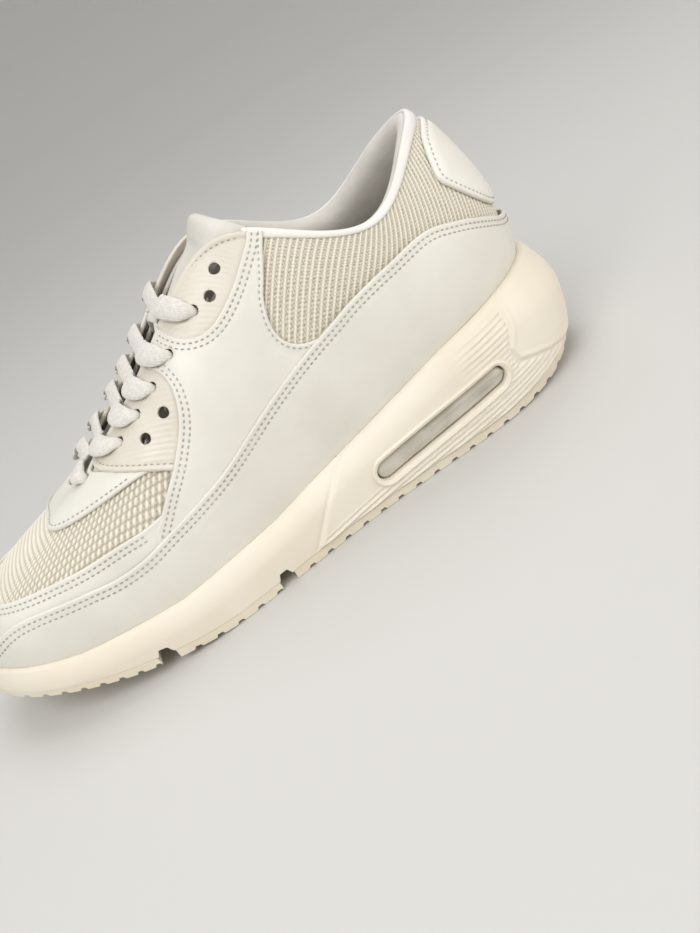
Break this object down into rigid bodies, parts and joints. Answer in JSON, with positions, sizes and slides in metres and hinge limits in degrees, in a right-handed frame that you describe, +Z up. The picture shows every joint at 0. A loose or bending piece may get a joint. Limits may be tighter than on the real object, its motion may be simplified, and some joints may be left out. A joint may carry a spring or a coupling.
{
  "type": "running shoe",
  "caption": "Low running shoe, left foot: textile upper under stitched leather overlays, flat laces, padded tongue and collar, thick foam sole with a clear cushion window at the heel.",
  "frame": {"origin": "on the ground, under the middle of the shoe's bounding box", "axes": "+X from toe to heel, +Y towards the inner (medial) side, +Z up from the ground"},
  "size_m": [0.3056, 0.1134, 0.1368],
  "materials": {
    "sole_foam": "matte moulded foam",
    "sole_rubber": "slightly translucent gum rubber",
    "air_film": "clear film, glossy",
    "board": "fibre board",
    "insole_cloth": "brushed cloth on foam",
    "mesh": "open knitted mesh",
    "lining": "brushed knit over foam",
    "binding": "smooth folded binding",
    "overlay": "smooth coated leather, low sheen",
    "ribbed_stay": "moulded fine ribs",
    "heel_patch": "smooth moulded patch, satin",
    "lace": "flat woven lace"
  },
  "bodies": {
    "shoe": {"air_unit": "air_film", "collar_binding": "binding", "collar_padding": "lining", "eyestay_lower_lateral": "ribbed_stay", "eyestay_lower_medial": "ribbed_stay", "eyestay_upper_lateral": "ribbed_stay", "eyestay_upper_medial": "ribbed_stay", "heel_tab": "heel_patch", "insole": "insole_cloth", "lace_row_1": "lace", "lace_row_2": "lace", "lace_row_3": "lace", "lace_row_4": "lace", "lace_row_5": "lace", "lace_row_6": "lace", "lasting_board": "board", "midsole": "sole_foam", "mudguard_lateral": "overlay", "mudguard_medial": "overlay", "outsole_ball": "sole_rubber", "outsole_heel": "sole_rubber", "outsole_toe": "sole_rubber", "quarter_lining": "lining", "quarter_mesh": "mesh", "side_panel_lateral": "overlay", "side_panel_medial": "overlay", "throat_overlay": "overlay", "toe_rand": "overlay", "vamp_lining": "lining", "vamp_mesh": "mesh", "window_rim_lateral": "sole_foam", "window_rim_medial": "sole_foam"},
    "tongue_flap": {"tongue": "lining"}
  },
  "joints": [
    {"name": "tongue_hinge", "type": "hinge", "parent": "shoe", "child": "tongue_flap", "pos_m": [-0.0769, 0, 0.058], "axis": [0, 1, 0], "range_deg": [0, 12]}
  ]
}
